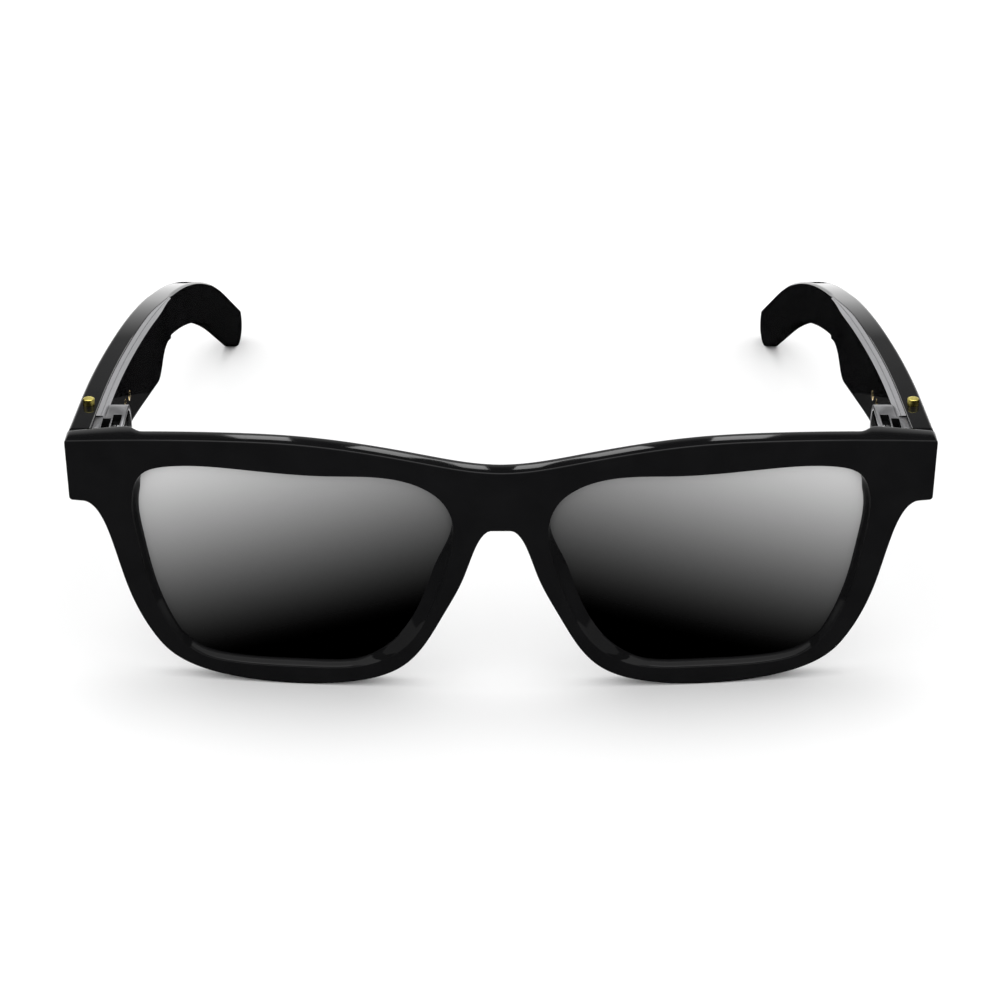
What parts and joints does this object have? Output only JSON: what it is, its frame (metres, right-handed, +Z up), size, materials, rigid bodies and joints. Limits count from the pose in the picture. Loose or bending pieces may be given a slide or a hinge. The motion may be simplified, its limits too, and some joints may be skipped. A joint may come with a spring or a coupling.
{
  "type": "smart glasses",
  "caption": "Open-ear audio smart glasses: square black front with gradient lenses, folding temples that hold the electronics, a press button on each.",
  "frame": {"origin": "middle of the footprint on the table, with the glasses standing open on the rims and the temple tips", "axes": "+Z up; +X across the face towards the wearer's left; the front faces -Y and the temples run back along +Y"},
  "size_m": [0.148, 0.1564, 0.046],
  "materials": {
    "battery_foil": "foil pouch",
    "button_gold": "polished gold plate",
    "can_steel": "metal can",
    "cap_gloss": "polished black",
    "chip_black": "moulded",
    "circuit_board": "solder mask",
    "contact_gold": "gold plate",
    "copper_foil": "copper",
    "cover_gloss": "polished black with a satin grey upper edge",
    "flex_film": "amber film",
    "frame_gloss": "polished black",
    "hinge_metal": "satin grey",
    "lens_gradient": "grey gradient, coated",
    "light_pipe": "clear",
    "mesh_steel": "dark woven mesh",
    "pad_silicone": "satin black",
    "screw_steel": "bright",
    "speaker_black": "moulded case",
    "switch_body": "moulded",
    "temple_gloss": "polished black"
  },
  "bodies": {
    "front": {"front_frame": "frame_gloss", "hinge_front_leaf_left": "hinge_metal", "hinge_front_leaf_right": "hinge_metal", "hinge_leaf_screws_left": "screw_steel", "hinge_leaf_screws_right": "screw_steel", "lens_left": "lens_gradient", "lens_right": "lens_gradient", "nose_pad_left": "pad_silicone", "nose_pad_right": "pad_silicone"},
    "temple_left": {"antenna_strip_left": "copper_foil", "battery_left": "battery_foil", "board_chips_left": "chip_black", "button_flex_left": "flex_film", "button_switch_left": "switch_body", "charging_contacts_left": "contact_gold", "hinge_block_left": "hinge_metal", "hinge_cap_left": "cap_gloss", "hinge_screw_left": "screw_steel", "main_board_left": "circuit_board", "microphone_left": "can_steel", "sound_mesh_left": "mesh_steel", "speaker_left": "speaker_black", "status_light_left": "light_pipe", "temple_cover_left": "cover_gloss", "temple_shell_left": "temple_gloss"},
    "button_left": {"button_cap_left": "button_gold"},
    "temple_right": {"antenna_strip_right": "copper_foil", "battery_right": "battery_foil", "board_chips_right": "chip_black", "button_flex_right": "flex_film", "button_switch_right": "switch_body", "charging_contacts_right": "contact_gold", "hinge_block_right": "hinge_metal", "hinge_cap_right": "cap_gloss", "hinge_screw_right": "screw_steel", "main_board_right": "circuit_board", "microphone_right": "can_steel", "sound_mesh_right": "mesh_steel", "speaker_right": "speaker_black", "status_light_right": "light_pipe", "temple_cover_right": "cover_gloss", "temple_shell_right": "temple_gloss"},
    "button_right": {"button_cap_right": "button_gold"}
  },
  "joints": [
    {"name": "temple_fold_left", "type": "hinge", "parent": "front", "child": "temple_left", "pos_m": [0.0662, -0.06243, 0.0389], "axis": [0, 0, 1], "range_deg": [0, 88]},
    {"name": "button_press_left", "type": "slide", "parent": "temple_left", "child": "button_left", "axis": [0, 0, -1], "range_m": [0, 0.00035], "stiffness_N_per_m": 1500},
    {"name": "temple_fold_right", "type": "hinge", "parent": "front", "child": "temple_right", "pos_m": [-0.0662, -0.06243, 0.0389], "axis": [0, 0, -1], "range_deg": [0, 82]},
    {"name": "button_press_right", "type": "slide", "parent": "temple_right", "child": "button_right", "axis": [0, 0, -1], "range_m": [0, 0.00035], "stiffness_N_per_m": 1500}
  ]
}
